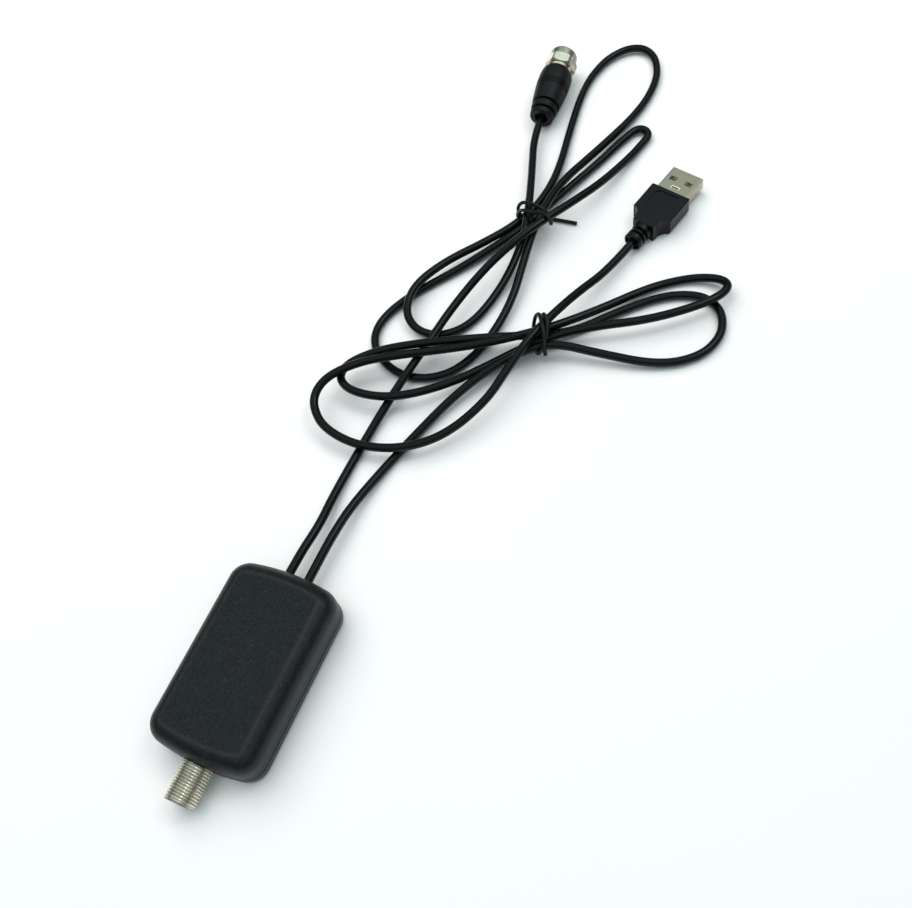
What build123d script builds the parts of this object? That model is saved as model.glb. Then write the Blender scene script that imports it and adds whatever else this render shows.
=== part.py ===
"""Inline aerial-signal amplifier: a small two-shell box with a threaded F socket at one
end, and at the other a coax cord to an F plug and a power cord to a USB-A plug.

Frame: origin at the centre of the box's underside, +Z up, the F socket points to -Y and
both cords leave towards +Y.  Millimetres.
"""
from build123d import *
import math
import os

os.makedirs("parts", exist_ok=True)

# ---- box -----------------------------------------------------------------
BOX_L = 57.6          # along Y, at the middle of the bowed ends
BOX_W = 35.0          # along X
BOX_H = 14.2
END_BOW = 2.2         # how far each short end bulges
CORNER_R = 6.3        # upright corners
TOP_R = 5.4           # rounding round the top
FOOT_R = 1.9          # rounding round the underside
WALL = 1.6
PART_Z = 3.9          # top of the lower shell's rim
PART_GAP = 0.34       # the thin shadow gap between the shells
PART_CHAMFER = 0.1
LIP_T, LIP_H = 0.7, 1.4
FLOOR_T = 1.5

# ---- circuit board -------------------------------------------------------
PCB_T = 1.0
PCB_TOP = 4.5
PCB_X, PCB_Y0, PCB_Y1 = 13.0, -21.8, 20.2
POST_X, POST_Y = 10.6, 16.2

# ---- F socket ------------------------------------------------------------
SOCK_Z = 5.1
THREAD_R = 4.7        # 3/8 in thread, 32 turns to the inch
THREAD_PITCH = 0.79375
THREAD_DEPTH = 0.42
SOCK_TIP_Y = -39.75
SOCK_NECK_R = 4.3
SOCK_HOLE_R = 4.4
SOCK_BORE_R = 3.4
FLANGE_Y = -26.7      # front face of the flange that sits behind the end wall
TONGUE_W = 12.1       # the tongue under the socket that closes the upper shell's slot

# ---- cords ---------------------------------------------------------------
CORD_D = 2.8
TIE_D = 1.25           # coated wire wound round each bundle
CORD_Z = 4.8
COAX_X, USB_X = -3.4, 3.1
CORD_Y0 = 27.0        # where the cords start, inside the end wall

# ---- F plug --------------------------------------------------------------
FP_ORIGIN = (-0.52, 226.28, 4.78)   # middle of the boot's rear face
FP_AXIS = (-0.0701, 0.99194, 0.1055)  # its widest part rests on the table, so it slopes up to the nut
NUT_AF = 11.0         # across flats
NUT_CORNER_R = 6.1
NUT_S0, NUT_S1 = 23.6, 30.95
NUT_HEX = 3.9         # length of the hexagon; a round collar runs on from it
NUT_COLLAR_R = 5.15
NUT_CORNER_DEG = 42.0  # a corner of the hexagon, from straight up towards +X
POST_R, POST_FLANGE_R = 3.5, 4.28

# ---- USB plug ------------------------------------------------------------
UP_FACE = (57.03, 202.77, 3.4)   # centre of the overmould's front face
UP_DIR = (0.2588, 0.9659)
USB_W, USB_H, USB_OUT = 12.0, 4.5, 10.7
USB_SHEET = 0.3
OM_T = 6.7            # thickness of the overmould
OM_END = 24.0         # from the front face back to the cord

# ---- routes: cord centre lines from the end wall to the plugs --------------
COAX_ROUTE = [
    (-3.40, 27.00, 4.80), (-3.40, 36.50, 4.80), (-2.70, 47.34, 3.80), (-4.00, 58.44, 2.10), (-3.90, 77.54, 1.20), (-2.30, 93.64, 2.90),
    (0.00, 107.14, 4.90), (1.80, 120.24, 5.10), (3.40, 133.64, 5.30), (7.80, 150.54, 7.00), (13.90, 163.94, 8.90), (20.20, 175.74, 9.10),
    (26.30, 187.94, 7.30), (31.80, 201.64, 4.50), (35.50, 214.24, 2.50), (37.40, 221.34, 1.70), (38.70, 226.74, 1.60), (39.60, 229.74, 1.70),
    (39.20, 231.74, 1.80), (37.70, 233.14, 1.90), (35.60, 233.24, 1.90), (33.90, 231.94, 1.80), (32.60, 229.34, 1.70), (30.40, 224.14, 1.60),
    (27.30, 215.34, 1.40), (21.20, 200.04, 1.90), (17.00, 187.74, 2.80), (12.40, 175.74, 3.10), (5.60, 164.84, 2.60), (-2.80, 152.94, 1.60),
    (-12.90, 139.84, 1.50), (-19.00, 127.64, 1.60), (-19.40, 118.44, 1.70), (-14.50, 110.94, 1.60), (-3.80, 106.04, 1.50), (7.00, 107.94, 1.50),
    (14.80, 115.24, 1.50), (19.40, 128.74, 1.70), (20.80, 145.14, 2.90), (18.90, 160.54, 4.90), (17.50, 172.74, 6.00), (17.40, 185.24, 6.20),
    (18.60, 198.44, 5.20), (24.50, 217.74, 2.80), (32.40, 242.24, 1.50), (33.50, 259.64, 1.50), (29.70, 270.04, 1.90), (24.80, 274.24, 2.10),
    (20.50, 274.64, 2.10), (15.70, 272.24, 2.00), (10.50, 264.74, 1.80), (7.80, 250.44, 1.50), (10.50, 228.24, 1.50), (14.50, 204.64, 2.20),
    (14.00, 189.34, 2.90), (10.00, 177.64, 3.00), (2.90, 166.84, 3.20), (-7.60, 152.74, 4.30), (-13.30, 139.64, 4.90), (-12.30, 130.14, 4.00),
    (-8.00, 125.14, 3.00), (-1.90, 123.64, 2.10), (5.40, 126.14, 1.60), (11.50, 133.94, 1.50), (14.80, 149.04, 2.00), (15.50, 162.74, 3.60),
    (14.30, 173.94, 5.80), (10.91, 186.32, 6.00), (5.64, 201.68, 4.60), (0.13, 217.06, 3.80), (-0.52, 226.28, 4.78),
]
USB_ROUTE = [
    (3.10, 27.00, 4.80), (3.10, 36.50, 4.80), (3.20, 46.74, 4.60), (3.60, 57.54, 3.00), (6.90, 73.34, 1.50), (10.90, 86.64, 1.50),
    (16.80, 102.24, 2.80), (24.50, 115.54, 4.70), (33.60, 126.04, 5.70), (42.10, 131.24, 5.50), (55.20, 132.74, 3.80), (74.50, 135.44, 1.80),
    (85.60, 142.54, 1.50), (89.70, 151.74, 1.50), (88.10, 160.04, 1.60), (83.40, 164.74, 1.60), (76.90, 165.94, 1.50), (66.80, 162.14, 1.50),
    (54.70, 150.94, 1.50), (45.40, 140.54, 1.80), (35.00, 134.14, 3.20), (24.20, 128.64, 5.20), (13.50, 122.64, 7.20), (2.30, 116.74, 8.40),
    (-10.10, 110.54, 7.90), (-18.70, 104.04, 6.60), (-21.00, 99.14, 6.00), (-19.50, 95.54, 5.80), (-14.20, 93.14, 6.00), (-4.20, 93.54, 6.50),
    (5.00, 98.14, 5.80), (14.90, 107.54, 3.80), (24.00, 118.84, 2.80), (32.80, 128.64, 3.80), (41.40, 135.34, 5.00), (51.90, 141.44, 5.60),
    (65.50, 148.24, 5.40), (76.80, 156.24, 5.40), (84.10, 163.34, 5.00), (86.80, 168.94, 4.40), (85.50, 172.24, 3.70), (80.60, 173.54, 2.60),
    (72.20, 171.44, 1.50), (61.70, 164.14, 1.50), (50.40, 150.34, 3.20), (39.70, 137.74, 5.80), (30.30, 129.54, 7.20), (19.90, 122.44, 7.50),
    (8.40, 116.24, 7.70), (-3.00, 110.14, 8.30), (-14.50, 103.14, 9.10), (-22.30, 95.04, 9.10), (-24.50, 88.54, 8.20), (-22.80, 82.94, 7.10),
    (-16.40, 77.64, 5.70), (-3.50, 75.74, 4.80), (10.20, 79.44, 4.60), (21.40, 88.34, 4.70), (29.30, 103.34, 6.30), (31.80, 115.84, 8.50),
    (34.30, 127.34, 9.90), (37.80, 138.64, 9.30), (41.50, 151.64, 6.50), (47.20, 166.14, 3.40), (50.80, 179.54, 3.40),
]
TIE1_ROUTE = [
    (28.88, 184.75, 0.72), (26.91, 184.66, 0.74), (24.96, 184.57, 0.74), (23.08, 184.49, 0.73),
    (21.09, 184.36, 0.72), (18.82, 184.09, 0.73), (16.42, 183.73, 0.74), (14.07, 183.32, 0.75),
    (11.90, 182.87, 0.71), (10.13, 182.37, 1.10), (8.84, 181.92, 2.21), (8.14, 181.67, 3.87),
    (8.26, 182.01, 6.03), (9.51, 182.40, 7.88), (11.73, 182.30, 8.82), (14.39, 181.88, 9.00),
    (17.05, 181.49, 8.69), (19.07, 181.14, 7.80), (19.77, 180.85, 6.17), (19.06, 180.65, 4.12),
    (17.44, 180.53, 2.16), (15.23, 180.51, 0.84), (12.62, 180.61, 0.70), (10.19, 180.69, 0.79),
    (8.64, 180.59, 1.80), (8.37, 180.30, 3.61), (9.31, 179.90, 6.01), (11.29, 179.19, 8.00),
    (13.96, 178.36, 9.09), (16.63, 177.82, 9.92), (18.88, 177.60, 10.77), (20.82, 177.04, 11.03),
    (22.54, 176.16, 10.62), (23.71, 175.21, 9.99), (23.77, 174.24, 9.61),
]
TIE2_ROUTE = [
    (41.18, 124.41, 7.43), (40.34, 125.48, 8.27), (39.93, 126.55, 8.94), (39.62, 127.69, 9.56),
    (39.10, 129.00, 10.26), (38.39, 130.43, 10.93), (37.45, 131.93, 11.48), (36.44, 133.47, 11.77),
    (35.51, 135.03, 11.61), (34.63, 136.43, 11.01), (33.77, 137.48, 9.97), (32.69, 137.78, 8.45),
    (32.14, 137.37, 6.41), (31.98, 136.48, 4.26), (32.18, 135.21, 2.39), (32.79, 133.57, 1.28),
    (33.84, 131.60, 1.18), (35.10, 129.57, 1.74), (36.38, 127.76, 2.72), (37.52, 126.48, 4.01),
    (38.33, 126.17, 5.53), (38.69, 127.21, 7.25), (39.08, 129.29, 8.80), (39.08, 131.78, 10.21),
    (38.26, 134.11, 11.30), (36.93, 135.99, 11.71), (35.70, 137.34, 10.99), (34.96, 137.95, 9.07),
    (34.62, 137.95, 6.52), (34.64, 137.48, 3.90), (35.05, 136.58, 1.75), (36.01, 135.16, 0.73),
    (37.38, 133.45, 0.72), (38.61, 132.14, 0.73),
]


def save(name, shape):
    export_step(shape, os.path.join("parts", name + ".step"))
    print("%-18s volume %.2f" % (name, shape.volume))


def cyl_y(x, z, r, y0, y1):
    """A cylinder along +Y from y0 to y1."""
    return Plane(origin=(x, y0, z), z_dir=(0, 1, 0)) * extrude(Circle(r), amount=y1 - y0)


def slab(x0, x1, y0, y1, z0, z1):
    return Pos((x0 + x1) / 2, (y0 + y1) / 2, (z0 + z1) / 2) * Box(x1 - x0, y1 - y0, z1 - z0)


def outline(inset):
    """The box's plan: straight sides, bowed ends, rounded corners, set in by a wall."""
    hx, hy, b = BOX_W / 2 - inset, BOX_L / 2 - inset, END_BOW
    edges = [
        Line((hx, -(hy - b)), (hx, hy - b)),
        ThreePointArc((hx, hy - b), (0, hy), (-hx, hy - b)),
        Line((-hx, hy - b), (-hx, -(hy - b))),
        ThreePointArc((-hx, -(hy - b)), (0, -hy), (hx, -(hy - b))),
    ]
    face = make_face(Wire(edges))
    return fillet(face.vertices(), CORNER_R - inset)


def prism(inset, z0, z1):
    return Pos(0, 0, z0) * extrude(outline(inset), amount=z1 - z0)


def ring(inset0, inset1, z0, z1):
    return prism(inset0, z0, z1) - prism(inset1, z0 - 1, z1 + 1)


def top_edges(solid, z):
    return [e for e in solid.edges() if abs(e.center().Z - z) < 1e-3 and abs(e.bounding_box().size.Z) < 1e-3]


# ---- lower shell -----------------------------------------------------------
lower = prism(0, 0, PART_Z)
lower = fillet(top_edges(lower, 0), FOOT_R)
lower = chamfer(top_edges(lower, PART_Z), PART_CHAMFER)
lower -= prism(WALL, FLOOR_T, PART_Z + 1)
lower += ring(WALL - LIP_T, WALL, PART_Z - 0.6, PART_Z + LIP_H)
# the tongue that closes the upper shell's slot under the socket
lower += ring(0.0, WALL, PART_Z - 0.4, PART_Z + 0.6) & slab(-TONGUE_W / 2, TONGUE_W / 2, -30, -20, 0, PART_Z + 0.6)
# cord saddles
lower += slab(-6.4, 6.1, 22.2, 23.6, FLOOR_T - 0.2, CORD_Z - 0.05)
# board posts and their pegs
for sx in (-1, 1):
    for sy in (-1, 1):
        lower += Pos(sx * POST_X, sy * POST_Y, FLOOR_T - 0.2) * Cylinder(1.7, PCB_TOP - PCB_T - FLOOR_T + 0.2, align=(Align.CENTER, Align.CENTER, Align.MIN))
        lower += Pos(sx * POST_X, sy * POST_Y, FLOOR_T) * Cylinder(0.9, PCB_TOP + 1.7 - FLOOR_T, align=(Align.CENTER, Align.CENTER, Align.MIN))
lower -= cyl_y(0, SOCK_Z, SOCK_HOLE_R, -31, -26.4)
lower -= cyl_y(COAX_X, CORD_Z, CORD_D / 2 + 0.05, 21, 31)
lower -= cyl_y(USB_X, CORD_Z, CORD_D / 2 + 0.05, 21, 31)
lower -= slab(-6.0, 6.0, -27.2, -23.6, FLOOR_T + 0.1, 12)   # room for the socket's flange
save("lower_shell", lower)

# ---- upper shell -----------------------------------------------------------
upper = prism(0, PART_Z + PART_GAP, BOX_H)
upper = fillet(top_edges(upper, BOX_H), TOP_R)
upper = chamfer(top_edges(upper, PART_Z + PART_GAP), PART_CHAMFER)
cavity = prism(WALL, 0, BOX_H - WALL)
cavity = fillet(top_edges(cavity, BOX_H - WALL), TOP_R - WALL)
upper -= cavity
upper -= prism(WALL - LIP_T - 0.1, 0, PART_Z + LIP_H + 0.15)   # rebate for the lower shell's lip
posts = None
for sx in (-1, 1):
    for sy in (-1, 1):
        p = Pos(sx * POST_X, sy * POST_Y, PCB_TOP) * Cylinder(1.9, BOX_H - WALL + 0.3 - PCB_TOP, align=(Align.CENTER, Align.CENTER, Align.MIN))
        posts = p if posts is None else posts + p
posts += slab(-6.4, 6.1, 22.2, 23.6, CORD_Z + 0.05, BOX_H - WALL + 0.3)
upper += posts & prism(0.8, 0, BOX_H - 0.8)
for sx in (-1, 1):
    for sy in (-1, 1):
        upper -= Pos(sx * POST_X, sy * POST_Y, PCB_TOP - 0.1) * Cylinder(1.0, 2.1, align=(Align.CENTER, Align.CENTER, Align.MIN))
upper -= cyl_y(0, SOCK_Z, SOCK_HOLE_R, -31, -26.0) + slab(-TONGUE_W / 2 - 0.3, TONGUE_W / 2 + 0.3, -31, -26.0, 0, PART_Z + 0.72) + slab(-SOCK_HOLE_R, SOCK_HOLE_R, -31, -26.0, PART_Z + 0.6, SOCK_Z)
for cx in (COAX_X, USB_X):
    upper -= cyl_y(cx, CORD_Z, CORD_D / 2 + 0.05, 21, 31)
    upper -= slab(cx - 1.45, cx + 1.45, 26, 31, 0, CORD_Z)
save("upper_shell", upper)

# ---- F socket --------------------------------------------------------------
def revolve_profile(points, origin, axis, x_dir=None):
    """Revolve (radius, distance) points about an axis through origin."""
    pl = Plane(origin=origin, z_dir=axis) if x_dir is None else Plane(origin=origin, x_dir=x_dir, z_dir=axis)
    face = make_face(Polyline(*[(r, 0, s) for r, s in points], close=True))
    return pl.location * revolve(face, axis=Axis.Z, revolution_arc=360)


def thread_rings(r_crest, depth, pitch, s0, count, outward=True):
    """Crest and root corners of a run of thread grooves; (radius, distance) points."""
    pts = []
    sign = -1 if outward else 1
    for i in range(count):
        a = s0 + i * pitch
        pts += [(r_crest, a), (r_crest, a + 0.14)]
        if i < count - 1:
            pts += [(r_crest + sign * depth, a + 0.14 + (pitch - 0.28) / 2), (r_crest + sign * depth, a + pitch - 0.0 - (pitch - 0.28) / 2)]
    return pts


# distance s runs from the tip (-Y end) towards the box
crests = thread_rings(THREAD_R, THREAD_DEPTH, THREAD_PITCH, 0.62, 13)
prof = [(SOCK_BORE_R, 0.0), (4.05, 0.0), (4.35, 0.22)] + crests
prof += [(SOCK_NECK_R, prof[-1][1] + 0.18), (SOCK_NECK_R, FLANGE_Y + 0.2 - SOCK_TIP_Y), (SOCK_BORE_R, FLANGE_Y + 0.2 - SOCK_TIP_Y)]
sock = revolve_profile(prof, (0, SOCK_TIP_Y, SOCK_Z), (0, 1, 0))
sock += slab(-5.7, 5.7, FLANGE_Y, -24.2, FLOOR_T + 0.15, SOCK_Z + 4.4) - cyl_y(0, SOCK_Z, SOCK_BORE_R, -28, -24)
for sx in (-1, 1):
    x0, x1 = sorted((sx * 4.1, sx * 5.3))
    sock += slab(x0, x1, -24.3, -18.4, PCB_TOP, PCB_TOP + 0.8)
    sock += slab(x0, x1, -24.3, -18.4, PCB_TOP - PCB_T - 0.8, PCB_TOP - PCB_T)
save("f_socket_body", sock)
ins = cyl_y(0, SOCK_Z, SOCK_BORE_R, SOCK_TIP_Y + 0.7, -24.2) + cyl_y(0, SOCK_Z, 2.4, -24.3, -22.1) - cyl_y(0, SOCK_Z, 1.0, SOCK_TIP_Y + 2.2, -22) - cyl_y(0, SOCK_Z, 0.75, SOCK_TIP_Y, SOCK_TIP_Y + 2.3)
save("f_socket_insulator", ins)
con = cyl_y(0, SOCK_Z, 1.0, SOCK_TIP_Y + 2.2, -21.9) - cyl_y(0, SOCK_Z, 0.55, SOCK_TIP_Y + 2.1, SOCK_TIP_Y + 8.7)
con += cyl_y(0, SOCK_Z, 0.6, -22.0, -18.6)
save("f_socket_contact", con)

# ---- board and its parts ---------------------------------------------------
board = slab(-PCB_X, PCB_X, PCB_Y0, PCB_Y1, PCB_TOP - PCB_T, PCB_TOP)
for sx in (-1, 1):
    for sy in (-1, 1):
        board -= Pos(sx * POST_X, sy * POST_Y, PCB_TOP - PCB_T / 2) * Cylinder(1.0, 3)
board = chamfer(board.edges().filter_by(Axis.Z).filter_by(lambda e: abs(abs(e.center().X) - PCB_X) < 1e-3), 1.2)
save("circuit_board", board)

T = PCB_TOP
chip = Pos(0, -8.0, T + 0.1) * Box(4.0, 5.0, 1.5, align=(Align.CENTER, Align.CENTER, Align.MIN))
chip = chamfer(chip.edges().group_by(Axis.Z)[-1], 0.15)
chip -= Pos(-1.2, -9.8, T + 1.6) * Cylinder(0.3, 0.2)
save("amplifier_chip", chip)
leads = []
for sx in (-1, 1):
    for k in range(4):
        y = -8.0 + (k - 1.5) * 1.27
        pts = [(2.0, T + 0.75), (2.45, T + 0.75), (2.75, T + 0.2), (3.2, T + 0.2), (3.2, T), (2.6, T), (2.3, T + 0.55), (2.0, T + 0.55)]
        f = Plane(origin=(0, y - 0.2, 0), x_dir=(1, 0, 0), z_dir=(0, -1, 0)) * make_face(Polyline(*[(sx * px, pz) for px, pz in pts], close=True))
        leads.append(extrude(f, amount=-0.4))
save("chip_leads", Compound(children=leads))


def chip_part(x, y, l, w, h, along_x=True):
    a, b = (l, w) if along_x else (w, l)
    return Pos(x, y, T) * Box(a, b, h, align=(Align.CENTER, Align.CENTER, Align.MIN))


caps = [chip_part(x, y, 2.0, 1.25, 0.9, ax) for x, y, ax in
        ((0, -13.4, False), (-5.4, -9.9, True), (5.4, -9.9, True), (-5.4, -6.2, True), (0, -3.2, False), (-3.4, 13.4, False), (3.6, 12.2, True))]
save("chip_capacitors", Compound(children=caps))
res = [chip_part(x, y, 2.0, 1.25, 0.5, ax) for x, y, ax in
       ((5.4, -6.2, True), (-5.4, -13.2, True), (5.4, -13.2, True), (0, 1.0, True), (-8.6, 1.0, False))]
save("chip_resistors", Compound(children=res))
core = Pos(-4.4, 6.0, T) * Cylinder(2.1, 0.9, align=(Align.CENTER, Align.CENTER, Align.MIN))
core += Pos(-4.4, 6.0, T) * Cylinder(1.3, 3.4, align=(Align.CENTER, Align.CENTER, Align.MIN))
core += Pos(-4.4, 6.0, T + 2.7) * Cylinder(2.1, 0.7, align=(Align.CENTER, Align.CENTER, Align.MIN))
save("choke_core", core)
sleeve = Pos(-4.4, 6.0, T + 0.9) * (Cylinder(1.62, 1.8, align=(Align.CENTER, Align.CENTER, Align.MIN)) - Cylinder(1.3, 1.8, align=(Align.CENTER, Align.CENTER, Align.MIN)))
save("choke_winding", sleeve)
can = Pos(5.2, 5.0, T) * Cylinder(2.5, 6.5, align=(Align.CENTER, Align.CENTER, Align.MIN))
can = fillet(can.edges().filter_by(GeomType.CIRCLE), 0.3)
can -= Pos(5.2, 5.0, T + 1.1) * Torus(2.62, 0.25)
save("filter_capacitor", can)

# ---- cord ends inside the box ------------------------------------------------
INNER_Y = 21.2
save("coax_inner_end", cyl_y(COAX_X, CORD_Z, CORD_D / 2, INNER_Y, CORD_Y0))
save("usb_inner_end", cyl_y(USB_X, CORD_Z, CORD_D / 2, INNER_Y, CORD_Y0))
save("coax_dielectric", cyl_y(COAX_X, CORD_Z, 0.65, 20.35, INNER_Y))
wires = [cyl_y(COAX_X, CORD_Z, 0.25, 16.6, 20.35), cyl_y(COAX_X - 1.04, CORD_Z + 0.08, 0.34, 16.6, INNER_Y)]
save("coax_conductors", Compound(children=wires))
save("usb_red_wire", cyl_y(USB_X - 0.62, CORD_Z + 0.17, 0.45, 16.6, INNER_Y))
save("usb_black_wire", cyl_y(USB_X + 0.62, CORD_Z + 0.17, 0.45, 16.6, INNER_Y))
joints = []


def solder(x, y, r, h, cut):
    s = Pos(x, y, T) * Cone(r, r * 0.45, h, align=(Align.CENTER, Align.CENTER, Align.MIN))
    joints.append(s - cut)


for sx in (-1, 1):
    x0, x1 = sorted((sx * 4.1, sx * 5.3))
    solder(sx * 4.7, -17.7, 0.9, 0.7, slab(x0, x1, -24.3, -18.4, T, T + 0.8))
solder(0, -18.4, 1.0, 0.8, cyl_y(0, SOCK_Z, 0.6, -22.0, -18.6))
solder(COAX_X + 0.15, 16.5, 0.5, 0.65, wires[0])
solder(COAX_X - 1.25, 16.5, 0.6, 0.7, wires[1] + wires[0])
solder(USB_X - 0.85, 16.4, 0.55, 0.8, cyl_y(USB_X - 0.62, CORD_Z + 0.17, 0.45, 16.6, INNER_Y))
solder(USB_X + 0.85, 16.4, 0.55, 0.8, cyl_y(USB_X + 0.62, CORD_Z + 0.17, 0.45, 16.6, INNER_Y))
joints[4] = joints[4] - joints[3]
save("solder_joints", Compound(children=[j for j in joints]))


# ---- cords -----------------------------------------------------------------
def cord_path(points):
    """Straight runs joined by tangent arcs, each as large as its two runs allow."""
    v = [Vector(*p) for p in points]
    radii, length, turns = [], 0.0, []
    for i in range(1, len(v) - 1):
        a, b = v[i] - v[i - 1], v[i + 1] - v[i]
        turn = math.radians(a.get_angle(b))
        t = 0.45 * min(a.length, b.length)
        radii.append(t / math.tan(turn / 2))
        turns.append((turn, t))
    for i in range(len(v) - 1):
        length += (v[i + 1] - v[i]).length
    for (turn, t), r in zip(turns, radii):
        length += r * turn - 2 * t
    return FilletPolyline(*points, radius=radii), radii, length


def tube(name, points, d, cut=None):
    path, radii, length = cord_path(points)
    start = v0 = Vector(*points[0])
    body = sweep(Plane(origin=v0, z_dir=Vector(*points[1]) - v0) * Circle(d / 2), path=path)
    print("%s: length %.1f, radii %s" % (name, length, " ".join("%.1f" % r for r in radii)))
    print("   volume over section x length: %.4f" % (body.volume / (math.pi * d * d / 4 * length)))
    if cut is not None:
        body -= cut
    save(name, body)
    return body


tube("coax_cord", COAX_ROUTE, CORD_D)
tube("usb_cord", USB_ROUTE, CORD_D)
tube("twist_tie_1", TIE1_ROUTE, TIE_D)
tube("twist_tie_2", TIE2_ROUTE, TIE_D)

# ---- F plug ----------------------------------------------------------------
def fp(points):
    return revolve_profile(points, FP_ORIGIN, FP_AXIS)


boot = fp([
    (0, 0), (1.42, 0), (1.42, 2.0), (2.35, 2.0), (2.4, 0.2), (2.6, 0), (4.15, 0), (4.4, 0.22), (4.66, 1.72), (4.58, 1.8),
    (3.85, 1.85), (3.85, 2.75), (4.72, 2.8), (4.82, 2.9), (5.14, 4.92), (5.05, 5.0), (4.3, 5.05), (4.3, 5.95), (5.2, 6.0), (5.3, 6.1), (5.6, 8.2),
    (5.98, 12.0), (6.03, 12.72), (5.8, 12.8), (5.82, 13.06), (6.06, 13.14), (6.1, 13.62), (5.86, 13.7), (5.88, 13.96), (6.12, 14.04),
    (6.15, 14.52), (5.92, 14.6), (5.94, 14.86), (6.17, 14.94), (6.2, 16.4), (6.18, 18.2), (6.1, 19.6), (5.95, 20.6), (5.7, 21.4), (5.4, 21.9), (5.08, 22.15),
    (4.0, 22.15), (4.0, 12.0), (0, 12.0)])
save("f_plug_boot", boot)
sleeve = fp([(0, 12.0), (4.0, 12.0), (4.0, 22.15), (5.0, 22.15), (5.1, 22.25), (5.1, 23.35), (5.0, 23.45), (POST_R, 23.45), (POST_R, 25.25),
             (POST_FLANGE_R, 25.25), (POST_FLANGE_R, 26.25), (2.4, 26.25), (2.4, 20.0), (0, 20.0)])
save("f_plug_sleeve", sleeve)
pin_r = 0.5
insul = fp([(pin_r, 20.0), (2.4, 20.0), (2.4, 26.55), (pin_r, 26.55)])
save("f_plug_insulator", insul)
pin = fp([(0, 20.0), (pin_r, 20.0), (pin_r, 31.7), (0.25, 32.1), (0, 32.1)])
save("f_plug_pin", pin)

fpl = Plane(origin=FP_ORIGIN, x_dir=(FP_AXIS[1], -FP_AXIS[0], 0), z_dir=FP_AXIS)   # local x to the side, local y down
hexa = RegularPolygon(radius=NUT_AF / 2 / math.cos(math.pi / 6), side_count=6)
# local y points down, so a corner at NUT_CORNER_DEG from straight up towards +X sits at that angle from local -y
HE = NUT_S0 + NUT_HEX
nut = Pos(0, 0, NUT_S0) * extrude(Rot(0, 0, -90 + NUT_CORNER_DEG) * hexa, amount=NUT_HEX)
nut &= revolve(make_face(Polyline(*[(r, 0, s) for r, s in [(0, NUT_S0), (5.55, NUT_S0), (NUT_CORNER_R, NUT_S0 + 0.45), (NUT_CORNER_R, HE - 0.5), (5.6, HE), (0, HE)]], close=True)), axis=Axis.Z)
nut += revolve(make_face(Polyline(*[(r, 0, s) for r, s in [(0, NUT_S0 + 1), (NUT_COLLAR_R, NUT_S0 + 1), (NUT_COLLAR_R, NUT_S1 - 0.55), (NUT_COLLAR_R - 0.15, NUT_S1 - 0.15), (NUT_COLLAR_R - 0.35, NUT_S1), (0, NUT_S1)]], close=True)), axis=Axis.Z)
bore = [(0, NUT_S0 - 1), (POST_R + 0.08, NUT_S0 - 1), (POST_R + 0.08, 25.15), (POST_FLANGE_R + 0.08, 25.15), (POST_FLANGE_R + 0.08, 26.65)]
g = 26.65
while g + THREAD_PITCH < NUT_S1 - 0.35:
    bore += [(4.36, g + 0.14), (4.74, g + 0.40), (4.74, g + 0.54), (4.36, g + 0.79375)]
    g += THREAD_PITCH
bore += [(4.36, NUT_S1 - 0.4), (4.75, NUT_S1), (4.75, NUT_S1 + 1), (0, NUT_S1 + 1)]
nut -= revolve(make_face(Polyline(*[(r, 0, s) for r, s in bore], close=True)), axis=Axis.Z)
save("f_plug_nut", fpl.location * nut)

# ---- USB plug --------------------------------------------------------------
# local frame: x to the right, y forwards out of the overmould, z up, origin at its front face
upl = Plane(origin=UP_FACE, x_dir=(UP_DIR[1], -UP_DIR[0], 0), z_dir=(0, 0, 1))
h = OM_T / 2
# straight sides, a hollow scooped out of each rear corner, and a narrow tail over the neck
plan = make_face(Polyline((-7.4, -12.0), (-7.5, 0), (7.5, 0), (7.4, -12.0)) + ThreePointArc((7.4, -12.0), (5.05, -13.25), (4.3, -15.9))
                 + Polyline((4.3, -15.9), (4.05, -17.3), (-4.05, -17.3), (-4.3, -15.9)) + ThreePointArc((-4.3, -15.9), (-5.05, -13.25), (-7.4, -12.0)))
grip = Pos(0, 0, -h) * extrude(plan, amount=2 * h)
front_v = [e for e in grip.edges().filter_by(Axis.Z) if abs(e.center().Y) < 0.1]
grip = fillet(front_v, 0.8)


def corner_face(points, rounded, r, cut, c):
    """A polygon with some corners rounded and some cut off."""
    f = make_face(Polyline(*points, close=True))
    f = fillet([v for v in f.vertices() if any((Vector(*q) - v.center()).length < 1e-3 for q in rounded)], r)
    return chamfer([v for v in f.vertices() if any((Vector(*q) - v.center()).length < 1e-3 for q in cut)], c)


# well rounded lower edges and crisp upper ones, seen from the end and from the side
across = corner_face([(-7.5, -h), (7.5, -h), (7.5, h), (-7.5, h)], [(-7.5, -h), (7.5, -h)], 1.6, [(7.5, h), (-7.5, h)], 0.3)
along = corner_face([(-18.5, -h), (0, -h), (0, h), (-18.5, h)], [(0, -h)], 1.2, [(0, h)], 0.3)
grip &= Plane(origin=(0, 0, 0), x_dir=(1, 0, 0), z_dir=(0, -1, 0)).location * extrude(across, amount=18.5)
grip &= Plane(origin=(-8, 0, 0), x_dir=(0, 1, 0), z_dir=(1, 0, 0)).location * extrude(along, amount=16)
NR = 3.3
neck = revolve(make_face(Polyline(*[(r, 0, s) for r, s in [
    (0, 14.0), (NR, 14.0), (NR, 18.6), (NR, 19.2), (2.3, 19.3), (2.3, 20.25), (3.15, 20.35), (NR, 21.2), (2.4, 21.3), (2.4, 22.1), (NR, 22.2), (NR, 23.6), (NR - 0.35, OM_END),
    (2.7, OM_END), (2.5, OM_END - 0.9), (1.7, OM_END - 0.9), (1.5, OM_END), (0, OM_END)]], close=True)), axis=Axis.Z)
neck = Plane(origin=(0, 0, 0), x_dir=(1, 0, 0), z_dir=(0, -1, 0)).location * neck
om = grip + neck
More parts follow.
